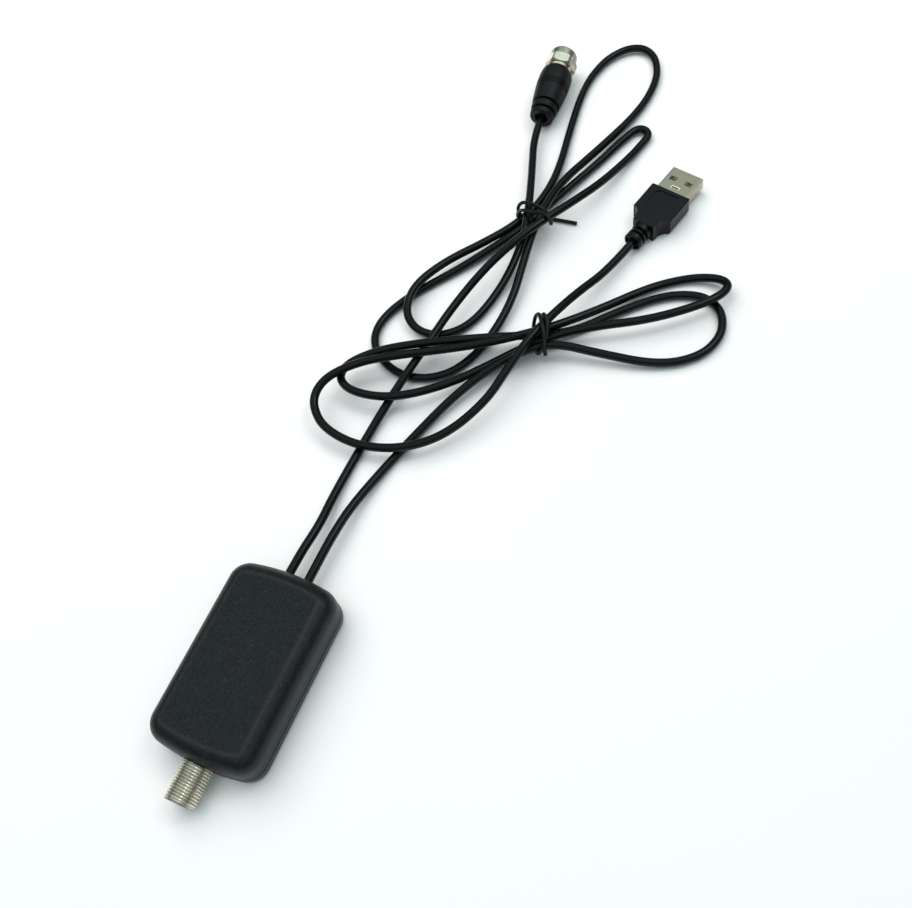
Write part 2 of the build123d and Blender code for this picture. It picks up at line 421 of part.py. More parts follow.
SW, SH = USB_W / 2, USB_H / 2
om -= slab(-SW, SW, -4.0, 1, -SH, SH)
# a shallow sunk panel, deepest at its front edge and running out towards the tail
wedge = Plane(origin=(-6, 0, 0), x_dir=(0, 1, 0), z_dir=(1, 0, 0)).location * extrude(make_face(Polyline((-1.7, h - 0.3), (-1.7, h + 1), (-13.2, h + 1), (-13.2, h), close=True)), amount=12)
panel = wedge & Pos(0, 0, 2) * extrude(make_face(Polyline((-4.3, -14), (-4.3, -2.9), (-3.1, -1.7), (4.3, -1.7), (4.3, -14), close=True)), amount=4)
om -= panel
save("usb_overmould", upl.location * om)
shell = slab(-SW, SW, -4.0, USB_OUT, -SH, SH)
shell = fillet([e for e in shell.edges().filter_by(Axis.Y)], 0.45)
inner = slab(-SW + USB_SHEET, SW - USB_SHEET, -5, USB_OUT + 1, -SH + USB_SHEET, SH - USB_SHEET)
shell -= inner
for sx in (-1, 1):
    shell -= slab(sx * 3.0 - 1.25, sx * 3.0 + 1.25, 5.05, 6.9, -SH - 1, SH + 1)
shell += slab(-1.65, 1.65, 1.95, 3.15, SH - 0.05, SH + 0.08)
lift = make_face(Polyline((2.55, SH - 0.05), (2.55, SH + 0.26), (3.15, SH + 0.04), (3.15, SH - 0.05), close=True))
shell += Plane(origin=(-1.65, 0, 0), x_dir=(0, 1, 0), z_dir=(1, 0, 0)).location * extrude(lift, amount=3.3)
shell -= slab(-1.3, 1.3, 2.05, 2.6, 0, SH + 1)
save("usb_shell", upl.location * shell)
tongue = slab(-SW + USB_SHEET, SW - USB_SHEET, -4.0, USB_OUT - 0.5, -SH + USB_SHEET, -0.05)
tongue += slab(-SW + USB_SHEET, SW - USB_SHEET, -4.0, 0.6, -0.1, SH - USB_SHEET)
CT = [(-3.5, 9.6), (-1.0, 8.6), (1.0, 8.6), (3.5, 9.6)]
for cx, cy in CT:
    tongue -= slab(cx - 0.55, cx + 0.55, 0.6, cy, -0.3, 0.5)
save("usb_tongue", upl.location * tongue)
save("usb_contacts", upl.location * Compound(children=[slab(cx - 0.5, cx + 0.5, 0.6, cy - 0.05, -0.3, 0.02) for cx, cy in CT]))
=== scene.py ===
"""Looks for an inline aerial-signal amplifier: black two-shell box with a threaded socket,
two thin cords folded and tied, a coaxial plug and a flat power plug.  Metres, row frame."""
import bpy
import bmesh
import math
from mathutils import Matrix, Vector


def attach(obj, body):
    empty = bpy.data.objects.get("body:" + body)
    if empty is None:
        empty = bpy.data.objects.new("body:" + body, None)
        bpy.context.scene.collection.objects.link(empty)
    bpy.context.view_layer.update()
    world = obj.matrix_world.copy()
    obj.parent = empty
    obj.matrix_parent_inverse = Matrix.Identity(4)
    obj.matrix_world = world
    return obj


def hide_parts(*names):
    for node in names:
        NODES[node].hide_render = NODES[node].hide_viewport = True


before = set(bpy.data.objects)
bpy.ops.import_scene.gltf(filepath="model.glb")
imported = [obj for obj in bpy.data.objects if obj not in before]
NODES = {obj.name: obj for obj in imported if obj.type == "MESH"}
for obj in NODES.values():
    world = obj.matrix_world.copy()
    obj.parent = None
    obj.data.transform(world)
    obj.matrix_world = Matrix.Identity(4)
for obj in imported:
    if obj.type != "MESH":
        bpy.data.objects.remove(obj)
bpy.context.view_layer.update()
ROOT = "amplifier"
NUT = "coupling_nut"

# ---- the routes of the cords and of the tie wires, in metres ----------------
CORD_D = 0.0028
TIE_D = 0.00125
COAX_ROUTE = [
    (-0.0034, 0.027, 0.0048), (-0.0034, 0.0365, 0.0048), (-0.0027, 0.04734, 0.0038), (-0.004, 0.05844, 0.0021), (-0.0039, 0.07754, 0.0012), (-0.0023, 0.09364, 0.0029),
    (0, 0.10714, 0.0049), (0.0018, 0.12024, 0.0051), (0.0034, 0.13364, 0.0053), (0.0078, 0.15054, 0.007), (0.0139, 0.16394, 0.0089), (0.0202, 0.17574, 0.0091),
    (0.0263, 0.18794, 0.0073), (0.0318, 0.20164, 0.0045), (0.0355, 0.21424, 0.0025), (0.0374, 0.22134, 0.0017), (0.0387, 0.22674, 0.0016), (0.0396, 0.22974, 0.0017),
    (0.0392, 0.23174, 0.0018), (0.0377, 0.23314, 0.0019), (0.0356, 0.23324, 0.0019), (0.0339, 0.23194, 0.0018), (0.0326, 0.22934, 0.0017), (0.0304, 0.22414, 0.0016),
    (0.0273, 0.21534, 0.0014), (0.0212, 0.20004, 0.0019), (0.017, 0.18774, 0.0028), (0.0124, 0.17574, 0.0031), (0.0056, 0.16484, 0.0026), (-0.0028, 0.15294, 0.0016),
    (-0.0129, 0.13984, 0.0015), (-0.019, 0.12764, 0.0016), (-0.0194, 0.11844, 0.0017), (-0.0145, 0.11094, 0.0016), (-0.0038, 0.10604, 0.0015), (0.007, 0.10794, 0.0015),
    (0.0148, 0.11524, 0.0015), (0.0194, 0.12874, 0.0017), (0.0208, 0.14514, 0.0029), (0.0189, 0.16054, 0.0049), (0.0175, 0.17274, 0.006), (0.0174, 0.18524, 0.0062),
    (0.0186, 0.19844, 0.0052), (0.0245, 0.21774, 0.0028), (0.0324, 0.24224, 0.0015), (0.0335, 0.25964, 0.0015), (0.0297, 0.27004, 0.0019), (0.0248, 0.27424, 0.0021),
    (0.0205, 0.27464, 0.0021), (0.0157, 0.27224, 0.002), (0.0105, 0.26474, 0.0018), (0.0078, 0.25044, 0.0015), (0.0105, 0.22824, 0.0015), (0.0145, 0.20464, 0.0022),
    (0.014, 0.18934, 0.0029), (0.01, 0.17764, 0.003), (0.0029, 0.16684, 0.0032), (-0.0076, 0.15274, 0.0043), (-0.0133, 0.13964, 0.0049), (-0.0123, 0.13014, 0.004),
    (-0.008, 0.12514, 0.003), (-0.0019, 0.12364, 0.0021), (0.0054, 0.12614, 0.0016), (0.0115, 0.13394, 0.0015), (0.0148, 0.14904, 0.002), (0.0155, 0.16274, 0.0036),
    (0.0143, 0.17394, 0.0058), (0.01091, 0.18632, 0.006), (0.00564, 0.20168, 0.0046), (0.00013, 0.21706, 0.0038), (-0.00052, 0.22628, 0.00478),
]
USB_ROUTE = [
    (0.0031, 0.027, 0.0048), (0.0031, 0.0365, 0.0048), (0.0032, 0.04674, 0.0046), (0.0036, 0.05754, 0.003), (0.0069, 0.07334, 0.0015), (0.0109, 0.08664, 0.0015),
    (0.0168, 0.10224, 0.0028), (0.0245, 0.11554, 0.0047), (0.0336, 0.12604, 0.0057), (0.0421, 0.13124, 0.0055), (0.0552, 0.13274, 0.0038), (0.0745, 0.13544, 0.0018),
    (0.0856, 0.14254, 0.0015), (0.0897, 0.15174, 0.0015), (0.0881, 0.16004, 0.0016), (0.0834, 0.16474, 0.0016), (0.0769, 0.16594, 0.0015), (0.0668, 0.16214, 0.0015),
    (0.0547, 0.15094, 0.0015), (0.0454, 0.14054, 0.0018), (0.035, 0.13414, 0.0032), (0.0242, 0.12864, 0.0052), (0.0135, 0.12264, 0.0072), (0.0023, 0.11674, 0.0084),
    (-0.0101, 0.11054, 0.0079), (-0.0187, 0.10404, 0.0066), (-0.021, 0.09914, 0.006), (-0.0195, 0.09554, 0.0058), (-0.0142, 0.09314, 0.006), (-0.0042, 0.09354, 0.0065),
    (0.005, 0.09814, 0.0058), (0.0149, 0.10754, 0.0038), (0.024, 0.11884, 0.0028), (0.0328, 0.12864, 0.0038), (0.0414, 0.13534, 0.005), (0.0519, 0.14144, 0.0056),
    (0.0655, 0.14824, 0.0054), (0.0768, 0.15624, 0.0054), (0.0841, 0.16334, 0.005), (0.0868, 0.16894, 0.0044), (0.0855, 0.17224, 0.0037), (0.0806, 0.17354, 0.0026),
    (0.0722, 0.17144, 0.0015), (0.0617, 0.16414, 0.0015), (0.0504, 0.15034, 0.0032), (0.0397, 0.13774, 0.0058), (0.0303, 0.12954, 0.0072), (0.0199, 0.12244, 0.0075),
    (0.0084, 0.11624, 0.0077), (-0.003, 0.11014, 0.0083), (-0.0145, 0.10314, 0.0091), (-0.0223, 0.09504, 0.0091), (-0.0245, 0.08854, 0.0082), (-0.0228, 0.08294, 0.0071),
    (-0.0164, 0.07764, 0.0057), (-0.0035, 0.07574, 0.0048), (0.0102, 0.07944, 0.0046), (0.0214, 0.08834, 0.0047), (0.0293, 0.10334, 0.0063), (0.0318, 0.11584, 0.0085),
    (0.0343, 0.12734, 0.0099), (0.0378, 0.13864, 0.0093), (0.0415, 0.15164, 0.0065), (0.0472, 0.16614, 0.0034), (0.0508, 0.17954, 0.0034),
]
TIE1_ROUTE = [
    (0.02888, 0.18475, 0.00072), (0.02691, 0.18466, 0.00074), (0.02496, 0.18457, 0.00074), (0.02308, 0.18449, 0.00073),
    (0.02109, 0.18436, 0.00072), (0.01882, 0.18409, 0.00073), (0.01642, 0.18373, 0.00074), (0.01407, 0.18332, 0.00075),
    (0.0119, 0.18287, 0.00071), (0.01013, 0.18237, 0.0011), (0.00884, 0.18192, 0.00221), (0.00814, 0.18167, 0.00387),
    (0.00826, 0.18201, 0.00603), (0.00951, 0.1824, 0.00788), (0.01173, 0.1823, 0.00882), (0.01439, 0.18188, 0.009),
    (0.01705, 0.18149, 0.00869), (0.01907, 0.18114, 0.0078), (0.01977, 0.18085, 0.00617), (0.01906, 0.18065, 0.00412),
    (0.01744, 0.18053, 0.00216), (0.01523, 0.18051, 0.00084), (0.01262, 0.18061, 0.0007), (0.01019, 0.18069, 0.00079),
    (0.00864, 0.18059, 0.0018), (0.00837, 0.1803, 0.00361), (0.00931, 0.1799, 0.00601), (0.01129, 0.17919, 0.008),
    (0.01396, 0.17836, 0.00909), (0.01663, 0.17782, 0.00992), (0.01888, 0.1776, 0.01077), (0.02082, 0.17704, 0.01103),
    (0.02254, 0.17616, 0.01062), (0.02371, 0.17521, 0.00999), (0.02377, 0.17424, 0.00961),
]
TIE2_ROUTE = [
    (0.04118, 0.12441, 0.00743), (0.04034, 0.12548, 0.00827), (0.03993, 0.12655, 0.00894), (0.03962, 0.12769, 0.00956),
    (0.0391, 0.129, 0.01026), (0.03839, 0.13043, 0.01093), (0.03745, 0.13193, 0.01148), (0.03644, 0.13347, 0.01177),
    (0.03551, 0.13503, 0.01161), (0.03463, 0.13643, 0.01101), (0.03377, 0.13748, 0.00997), (0.03269, 0.13778, 0.00845),
    (0.03214, 0.13737, 0.00641), (0.03198, 0.13648, 0.00426), (0.03218, 0.13521, 0.00239), (0.03279, 0.13357, 0.00128),
    (0.03384, 0.1316, 0.00118), (0.0351, 0.12957, 0.00174), (0.03638, 0.12776, 0.00272), (0.03752, 0.12648, 0.00401),
    (0.03833, 0.12617, 0.00553), (0.03869, 0.12721, 0.00725), (0.03908, 0.12929, 0.0088), (0.03908, 0.13178, 0.01021),
    (0.03826, 0.13411, 0.0113), (0.03693, 0.13599, 0.01171), (0.0357, 0.13734, 0.01099), (0.03496, 0.13795, 0.00907),
    (0.03462, 0.13795, 0.00652), (0.03464, 0.13748, 0.0039), (0.03505, 0.13658, 0.00175), (0.03601, 0.13516, 0.00073),
    (0.03738, 0.13345, 0.00072), (0.03861, 0.13214, 0.00073),
]

# ---- small node-tree helper ------------------------------------------------
class Mat:
    """A material under construction: every call adds one shader node."""
    def __init__(self, name):
        self.m = bpy.data.materials.new(name)
        self.m.use_nodes = True
        self.t = self.m.node_tree
        self.t.nodes.clear()
        self.out = self.t.nodes.new("ShaderNodeOutputMaterial")
        self.b = self.t.nodes.new("ShaderNodeBsdfPrincipled")
        self.t.links.new(self.b.outputs[0], self.out.inputs[0])
        self.co = self.t.nodes.new("ShaderNodeTexCoord").outputs["Object"]

    def put(self, sock, v):
        if isinstance(v, bpy.types.NodeSocket):
            self.t.links.new(v, sock)
        elif v is not None:
            sock.default_value = v

    def set(self, **kw):
        for k, v in kw.items():
            self.put(self.b.inputs[k.replace("_", " ")], v)
        return self

    def noise(self, scale, detail=2.0, rough=0.5, vec=None, dist=0.0):
        n = self.t.nodes.new("ShaderNodeTexNoise")
        self.put(n.inputs["Vector"], vec or self.co)
        n.inputs["Scale"].default_value = scale
        n.inputs["Detail"].default_value = detail
        n.inputs["Roughness"].default_value = rough
        n.inputs["Distortion"].default_value = dist
        return n.outputs["Fac"]

    def voronoi(self, scale, out="Distance", vec=None, rand=1.0):
        n = self.t.nodes.new("ShaderNodeTexVoronoi")
        self.put(n.inputs["Vector"], vec or self.co)
        n.inputs["Scale"].default_value = scale
        n.inputs["Randomness"].default_value = rand
        return n.outputs[out]

    def stretch(self, sx, sy, sz, rot=(0, 0, 0), loc=(0, 0, 0)):
        n = self.t.nodes.new("ShaderNodeMapping")
        self.put(n.inputs["Vector"], self.co)
        n.inputs["Scale"].default_value = (sx, sy, sz)
        n.inputs["Rotation"].default_value = rot
        n.inputs["Location"].default_value = loc
        return n.outputs[0]

    def ramp(self, fac, stops, mode="LINEAR"):
        n = self.t.nodes.new("ShaderNodeValToRGB")
        n.color_ramp.interpolation = mode
        self.put(n.inputs[0], fac)
        e = n.color_ramp.elements
        while len(e) < len(stops):
            e.new(0.5)
        for q, (p, c) in zip(e, stops):
            q.position = p
            q.color = (c, c, c, 1) if isinstance(c, (int, float)) else (*c, 1)
        return n.outputs[0]

    def span(self, v, a, b, c, d, clamp=True):
        n = self.t.nodes.new("ShaderNodeMapRange")
        n.clamp = clamp
        for i, q in enumerate((v, a, b, c, d)):
            self.put(n.inputs[i], q)
        return n.outputs[0]

    def math(self, op, a, b=None, c=None, clamp=False):
        n = self.t.nodes.new("ShaderNodeMath")
        n.operation = op
        n.use_clamp = clamp
        for i, q in enumerate((a, b, c)):
            self.put(n.inputs[i], q)
        return n.outputs[0]

    def mix(self, fac, a, b, mode="MIX"):
        n = self.t.nodes.new("ShaderNodeMix")
        n.data_type = "RGBA"
        n.blend_type = mode
        for k, q in ((0, fac), (6, a), (7, b)):
            if isinstance(q, (tuple, list)) and len(q) == 3:
                q = (*q, 1)
            self.put(n.inputs[k], q)
        return n.outputs[2]

    def bump(self, height, dist, strength=1.0, under=None):
        n = self.t.nodes.new("ShaderNodeBump")
        n.inputs["Strength"].default_value = strength
        n.inputs["Distance"].default_value = dist
        self.put(n.inputs["Height"], height)
        if under is not None:
            self.put(n.inputs["Normal"], under)
        return n.outputs[0]

    def xyz(self, vec=None):
        n = self.t.nodes.new("ShaderNodeSeparateXYZ")
        self.put(n.inputs[0], vec or self.co)
        return n.outputs

    def normal(self):
        n = self.t.nodes.new("ShaderNodeNewGeometry")
        return n.outputs["Normal"]


def plastic(name, base, rough, grain=2400, grain_h=0.00002, specks=0.0, mottle=0.15, spec=0.5, coat=0.0):
    """Moulded plastic: fine grain in the bump, slow changes of tone and gloss, rare light specks."""
    m = Mat(name)
    fine = m.noise(grain, 3, 0.6)
    slow = m.noise(90, 4, 0.6)
    lo = tuple(c * (1 - mottle) for c in base)
    hi = tuple(c * (1 + mottle) for c in base)
    col = m.ramp(slow, [(0.3, lo), (0.7, hi)])
    if specks:
        dots = m.voronoi(1500)
        keep = m.noise(700, 2)
        k = m.math("MULTIPLY", m.span(dots, 0.05, 0.16, 1, 0), m.span(keep, 0.56, 0.64, 0, 1))
        col = m.mix(m.math("MULTIPLY", k, specks), col, (0.42, 0.43, 0.42))
    m.set(Base_Color=col, Roughness=m.span(slow, 0.25, 0.75, rough - 0.05, rough + 0.05), Specular_IOR_Level=spec)
    m.set(Normal=m.bump(fine, grain_h))
    if coat:
        m.set(Coat_Weight=coat, Coat_Roughness=0.2)
    return m


def metal(name, base, rough, line=(1, 1, 1), scale=900, bump=0.000006, tarnish=0.12):
    """Plated metal: soft cloudy tone, brushed or turned lines, a little dirt in the tone."""
    m = Mat(name)
    cloud = m.noise(260, 4, 0.6)
    turned = m.noise(scale, 3, 0.6, m.stretch(*line))
    dark = tuple(c * (1 - tarnish) for c in base)
    lite = tuple(min(1, c * (1 + tarnish * 0.6)) for c in base)
    m.set(Base_Color=m.ramp(cloud, [(0.3, dark), (0.7, lite)]), Metallic=1.0)
    m.set(Roughness=m.span(turned, 0.3, 0.7, rough - 0.07, rough + 0.08), Normal=m.bump(turned, bump))
    return m


def paint(node, mat):
    o = NODES[node]
    o.data.materials.clear()
    o.data.materials.append(mat.m if isinstance(mat, Mat) else mat)
    return o


# ---- materials -------------------------------------------------------------
def shell(name, base, rough, spec, rim):
    """Fine spark-eroded black plastic: close grain, rare light specks, a painted highlight round the top's rim, side
    walls painted lighter than the top, and painted shade in the parting gap.
    """
    m = Mat(name)
    grain = m.noise(2300, 2, 0.7)
    fine = m.noise(5200, 2, 0.6)
    slow = m.noise(70, 4, 0.6)
    col = m.ramp(grain, [(0.36, tuple(c * 0.05 for c in base)), (0.66, tuple(c * 3.6 for c in base))])
    col = m.mix(m.span(slow, 0.3, 0.7, 0.0, 0.35), col, tuple(c * 1.5 for c in base))
    nz = m.xyz(m.normal())[2]
    edge = m.math("MULTIPLY", m.span(nz, 0.93, 0.968, 0, 1), m.span(nz, 0.985, 0.9995, 1, 0))
    # painted light: side walls and the lower rounding get a lighter colour than the top, by the tilt of the normal
    col = m.mix(m.span(nz, 0.3, 0.75, 0.55, 0.0), col, tuple(c * 3.4 for c in base))
    # painted highlight: a lighter band where the flat top begins to round over (edge), broken up by noise; rim sets
    # its strength
    painted_rim_highlight = m.math("MULTIPLY", edge, m.span(m.noise(240, 4, 0.7), 0.25, 0.75, 0.45, 1.0))
    col = m.mix(m.math("MULTIPLY", painted_rim_highlight, rim), col, (0.05, 0.052, 0.053))
    dots = m.voronoi(1150)
    keep = m.noise(610, 2)
    k = m.math("MULTIPLY", m.span(dots, 0.06, 0.2, 1, 0), m.span(keep, 0.54, 0.62, 0, 1))
    col = m.mix(m.math("MULTIPLY", k, 0.16), col, (0.42, 0.43, 0.42))
    # painted shade in the parting gap: the lip between the shells is made near black and fully rough
    z = m.xyz()[2]
    painted_gap_shade = m.math("MULTIPLY", m.span(z, 0.00386, 0.00392, 0, 1), m.span(z, 0.00425, 0.00428, 1, 0))
    col = m.mix(painted_gap_shade, col, (0.0002, 0.0002, 0.0002))
    m.set(Base_Color=col, Specular_IOR_Level=spec)
    m.set(Roughness=m.math("MAXIMUM", m.span(slow, 0.25, 0.75, rough - 0.03, rough + 0.04), painted_gap_shade))
    m.set(Normal=m.bump(fine, 0.000016, under=m.bump(grain, 0.000048)))
    return m


shell_black = shell("shell_black", (0.0030, 0.0041, 0.0045), 0.40, 0.28, 0.3)
# painted light: the lower shell is a lighter copy of the same black, standing in for the floor's light on its lower
# strip
shell_low_lit_copy = shell("shell_low_black", (0.0066, 0.0076, 0.0078), 0.42, 0.5, 0.0)
cord_black = plastic("cord_black", (0.0022, 0.0026, 0.0028), 0.26, grain=900, grain_h=0.00001, spec=0.22)
boot_black = plastic("boot_black", (0.0038, 0.0042, 0.0044), 0.48, grain=1300, grain_h=0.00003, spec=0.24, mottle=0.3)
grip_black = plastic("grip_black", (0.0030, 0.0036, 0.0039), 0.36, grain=1500, grain_h=0.00003, spec=0.24)
tie_black = plastic("tie_black", (0.0045, 0.0040, 0.0039), 0.38, grain=1600, grain_h=0.00002, spec=0.3)
nickel = metal("nickel", (0.82, 0.72, 0.58), 0.22, bump=0.000001, tarnish=0.2)


def nut_metal():
    """Bright machined hexagon and a duller turned collar, told apart by the distance along the axis."""
    m = metal("nickel_nut", (0.92, 0.86, 0.72), 0.26)
    p = m.xyz()
    s = m.math("MULTIPLY", m.math("SUBTRACT", p[0], -0.00052), -0.0701)
    s = m.math("ADD", s, m.math("MULTIPLY", m.math("SUBTRACT", p[1], 0.22628), 0.99194))
    s = m.math("ADD", s, m.math("MULTIPLY", m.math("SUBTRACT", p[2], 0.00478), 0.1055))
    k = m.span(s, 0.02742, 0.02752, 0.0, 1.0)
    base = m.b.inputs["Base Color"].links[0].from_socket
    m.set(Base_Color=m.mix(m.math("MULTIPLY", k, 0.85), base, (0.38, 0.36, 0.295)), Roughness=m.span(k, 0, 1, 0.26, 0.36))
    return m


nickel_nut = nut_metal()


def thread_metal():
    """Nickel with painted shade in the roots of the thread, by distance from the socket's axis."""
    m = metal("nickel_thread", (0.96, 0.89, 0.76), 0.2, bump=0.000001, tarnish=0.15)
    p = m.xyz()
    z = m.math("SUBTRACT", p[2], 0.0051)
    r = m.math("SQRT", m.math("ADD", m.math("MULTIPLY", p[0], p[0]), m.math("MULTIPLY", z, z)))
    base = m.b.inputs["Base Color"].links[0].from_socket
    # painted shade: darker, rougher metal in the thread's roots
    painted_root_shade = m.span(r, 0.00422, 0.00448, 1.0, 0.0)
    m.set(Base_Color=m.mix(m.math("MULTIPLY", painted_root_shade, 0.52), base, (0.11, 0.105, 0.085)))
    m.set(Roughness=m.span(painted_root_shade, 0, 1, 0.2, 0.5))
    return m


def steel_shell():
    """Plated steel with a painted highlight on the latch's pressed lip, placed by the plug's own axes."""
    m = metal("usb_steel", (0.475, 0.43, 0.325), 0.33)
    p = m.xyz()
    dx, dy = m.math("SUBTRACT", p[0], 0.05703), m.math("SUBTRACT", p[1], 0.20277)
    u = m.math("SUBTRACT", m.math("MULTIPLY", dx, 0.9659), m.math("MULTIPLY", dy, 0.2588))
    v = m.math("ADD", m.math("MULTIPLY", dx, 0.2588), m.math("MULTIPLY", dy, 0.9659))
    # painted highlight: a near-white, half-metallic patch on the latch's lip
    k = m.math("MULTIPLY", m.span(p[2], 0.00567, 0.0057, 0, 1), m.math("LESS_THAN", m.math("ABSOLUTE", u), 0.0018))
    k = m.math("MULTIPLY", k, m.math("MULTIPLY", m.math("GREATER_THAN", v, 0.0019), m.math("LESS_THAN", v, 0.0034)))
    base = m.b.inputs["Base Color"].links[0].from_socket
    m.set(Base_Color=m.mix(k, base, (0.95, 0.94, 0.86)), Metallic=m.span(k, 0, 1, 1.0, 0.3))
    return m


nickel_thread = thread_metal()
usb_steel = steel_shell()
tongue_white = plastic("tongue_white", (0.62, 0.58, 0.48), 0.5, mottle=0.06)
brass = metal("brass", (0.72, 0.5, 0.25), 0.3)
copper = metal("copper", (0.75, 0.4, 0.24), 0.3)
tin = metal("tin", (0.6, 0.6, 0.6), 0.35)
white_pe = plastic("white_insulator", (0.72, 0.72, 0.69), 0.45, mottle=0.05)
board = plastic("board_green", (0.01, 0.09, 0.035), 0.35, mottle=0.3)
epoxy = plastic("epoxy_black", (0.012, 0.012, 0.012), 0.55)
ceramic = plastic("ceramic_tan", (0.32, 0.2, 0.11), 0.5)
ferrite = plastic("ferrite", (0.03, 0.03, 0.033), 0.6)
red = plastic("wire_red", (0.35, 0.01, 0.01), 0.4)
black_wire = plastic("wire_black", (0.01, 0.01, 0.01), 0.4)

for n, m in {
    "upper_shell": shell_black, "lower_shell": shell_low_lit_copy, "f_socket_body": nickel, "f_socket_insulator": white_pe,
    "f_socket_contact": brass, "circuit_board": board, "amplifier_chip": epoxy, "chip_leads": tin,
    "chip_capacitors": ceramic, "chip_resistors": epoxy, "choke_core": ferrite, "choke_winding": copper,
    "filter_capacitor": tin, "solder_joints": tin, "coax_inner_end": cord_black, "usb_inner_end": cord_black,
    "coax_dielectric": white_pe, "coax_conductors": copper, "usb_red_wire": red, "usb_black_wire": black_wire,
    "f_plug_boot": boot_black, "f_plug_sleeve": nickel, "f_plug_insulator": white_pe, "f_plug_pin": brass,
    "f_plug_nut": nickel_nut, "usb_overmould": grip_black, "usb_shell": usb_steel, "usb_tongue": tongue_white,
    "usb_contacts": brass,
}.items():
    paint(n, m)


# ---- the socket with a real helical thread ----------------------------------
def swap(name, verts, faces, mat, slot, node, body=ROOT, sharp=35.0):
    """A finer mesh in place of a CAD node."""
    me = bpy.data.meshes.new(name)
    me.from_pydata([tuple(v) for v in verts], [], faces)
    me.validate()
    b = bmesh.new()
    b.from_mesh(me)
    bmesh.ops.remove_doubles(b, verts=b.verts, dist=1e-7)
    bmesh.ops.recalc_face_normals(b, faces=b.faces)
    b.to_mesh(me)
    b.free()
    me.materials.append(mat.m)
    for p in me.polygons:
        p.use_smooth = True
    me.set_sharp_from_angle(angle=math.radians(sharp))
    o = bpy.data.objects.new(name, me)
    bpy.context.scene.collection.objects.link(o)
    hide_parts(node)
    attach(o, body)
    return o


SOCK_Z, SOCK_TIP = 0.0051, -0.03975
PITCH, THREAD_R, ROOT_R, BORE_R = 0.79375e-3, 4.7e-3, 4.21e-3, 3.4e-3
NECK_END = 13.25e-3


def screw(turns):
    """Radius of the 60 degree thread at a place along its pitch, counted in turns."""
    f = abs((turns % 1.0) - 0.5) * 2            # 0 on the crest, 1 in the root
    return THREAD_R - (THREAD_R - ROOT_R) * min(1.0, max(0.0, (f - 0.16) / 0.68))


def socket_mesh():
    verts, faces = [], []
    na = 120
    stations = [0.0]
    while stations[-1] < 11.3e-3:
        stations.append(stations[-1] + PITCH / 14)
    rows = []

    def row(radius, s):
        r = []
        for k in range(na):
            a = 2 * math.pi * k / na
            q = radius(a, s) if callable(radius) else radius
            verts.append((q * math.cos(a), SOCK_TIP + s, SOCK_Z + q * math.sin(a)))
            r.append(len(verts) - 1)
        rows.append(r)

    def body(a, s):
        lead = min(1.0, s / 0.6e-3)
        chamfer = 4.05e-3 + (ROOT_R + 0.1e-3 - 4.05e-3) * lead
        grow = min(1.0, max(0.0, (s - 0.6e-3) / 0.6e-3))
        stop = min(1.0, max(0.0, (10.98e-3 - s) / 0.2e-3))
        depth = screw(s / PITCH - a / (2 * math.pi)) - ROOT_R
        return (chamfer if s < 0.6e-3 else ROOT_R + 0.1e-3 * (1 - grow)) + depth * grow * stop

    row(BORE_R, 3.0e-3)
    row(BORE_R, 0.1e-3)
    row(BORE_R + 0.1e-3, 0.0)
    row(3.95e-3, 0.0)
    for s in stations[1:]:
        row(body, s)
    row(ROOT_R, NECK_END)
    row(BORE_R, NECK_END)
    for p, q in zip(rows, rows[1:]):
        for k in range(na):
            n = (k + 1) % na
            faces.append((p[k], p[n], q[n], q[k]))

    def block(x0, x1, y0, y1, z0, z1):
        i = len(verts)
        for x in (x0, x1):
            for y in (y0, y1):
                for z in (z0, z1):
                    verts.append((x, y, z))
        for f in ((0, 1, 3, 2), (4, 6, 7, 5), (0, 4, 5, 1), (2, 3, 7, 6), (0, 2, 6, 4), (1, 5, 7, 3)):
            faces.append(tuple(i + k for k in f))

    # the flange behind the end wall, a square frame round the bore, and the four solder legs
    n = 24
    ring_in, ring_out = [], []
    for y in (-0.0267, -0.0242):
        a_in, a_out = [], []
        for k in range(n * 4):
            a = 2 * math.pi * k / (n * 4)
            c, s = math.cos(a), math.sin(a)
            verts.append((BORE_R * c, y, SOCK_Z + BORE_R * s))
            a_in.append(len(verts) - 1)
            m = max(abs(c), abs(s))
            low = 0.00345 if s < 0 else 0.0044
            verts.append((0.0057 * c / m, y, SOCK_Z + low * s / m))
            a_out.append(len(verts) - 1)
        ring_in.append(a_in)
        ring_out.append(a_out)
    for k in range(n * 4):
        q = (k + 1) % (n * 4)
        faces.append((ring_in[0][k], ring_in[0][q], ring_out[0][q], ring_out[0][k]))
        faces.append((ring_in[1][k], ring_out[1][k], ring_out[1][q], ring_in[1][q]))
        faces.append((ring_out[0][k], ring_out[0][q], ring_out[1][q], ring_out[1][k]))
        faces.append((ring_in[0][k], ring_in[1][k], ring_in[1][q], ring_in[0][q]))
    for sx in (-1, 1):
        x0, x1 = sorted((sx * 0.0041, sx * 0.0053))
        block(x0, x1, -0.0243, -0.0184, 0.0045, 0.0053)
        block(x0, x1, -0.0243, -0.0184, 0.0027, 0.0035)
    return verts, faces


swap("socket", *socket_mesh(), nickel_thread, "socket_nickel", "f_socket_body")

# ---- cords and ties --------------------------------------------------------
def wire(name, points, d, mat, node):
    """One open quadratic NURBS line through the route's control points, with a round section."""
    c = bpy.data.curves.new(name, "CURVE")
    c.dimensions = "3D"
    s = c.splines.new("NURBS")
    s.points.add(len(points) - 1)
    for q, p in zip(s.points, points):
        q.co = (*p, 1)
    s.order_u = 3
    s.use_endpoint_u = True
    s.resolution_u = 12
    c.bevel_depth = d / 2
    c.bevel_resolution = 8
    c.use_fill_caps = True
    c.materials.append(mat.m)
    o = bpy.data.objects.new(name, c)
    bpy.context.scene.collection.objects.link(o)
    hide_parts(node)
    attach(o, ROOT)
    return o


